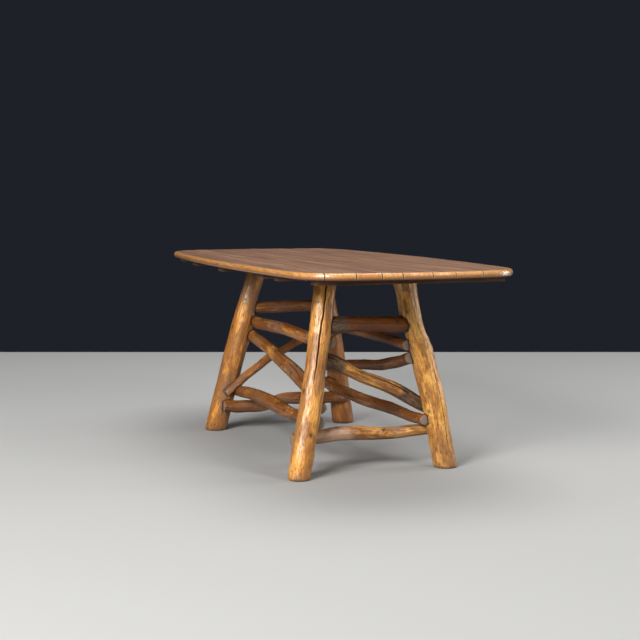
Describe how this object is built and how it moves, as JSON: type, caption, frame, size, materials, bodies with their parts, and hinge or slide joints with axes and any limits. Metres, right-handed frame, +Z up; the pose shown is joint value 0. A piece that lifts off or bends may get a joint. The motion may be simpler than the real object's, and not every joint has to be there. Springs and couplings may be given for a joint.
{
  "type": "rustic hickory table",
  "caption": "Long dining table with a bowed board top on splayed, peeled hickory pole legs tied together by crooked branch rails and diagonal braces.",
  "frame": {"origin": "on the floor under the middle of the top", "axes": "+X along the boards to the right end, +Y across the table to the back, +Z up"},
  "size_m": [1.96, 0.878, 0.75],
  "materials": {
    "top_boards": "varnished oiled boards, satin",
    "battens": "dark stained, satin",
    "leg_poles": "peeled and varnished hickory, semi-gloss",
    "branches": "peeled and varnished hickory, semi-gloss",
    "steel_fasteners": "plain steel screws and nails, dulled"
  },
  "bodies": {
    "root": {"board_1": "top_boards", "board_2": "top_boards", "board_3": "top_boards", "board_4": "top_boards", "board_5": "top_boards", "board_6": "top_boards", "board_7": "top_boards", "board_8": "top_boards", "board_9": "top_boards", "batten_1": "battens", "batten_2": "battens", "batten_3": "battens", "batten_4": "battens", "batten_5": "battens", "batten_6": "battens", "leg_front_left": "leg_poles", "leg_front_right": "leg_poles", "leg_back_right": "leg_poles", "leg_back_left": "leg_poles", "front_upper_rail": "branches", "front_brace": "branches", "front_lower_rail": "branches", "back_upper_rail": "branches", "back_brace": "branches", "back_lower_rail": "branches", "right_upper_rail": "branches", "right_brace": "branches", "right_lower_rail": "branches", "left_upper_rail": "branches", "left_brace": "branches", "left_lower_rail": "branches"}
  },
  "joints": []
}
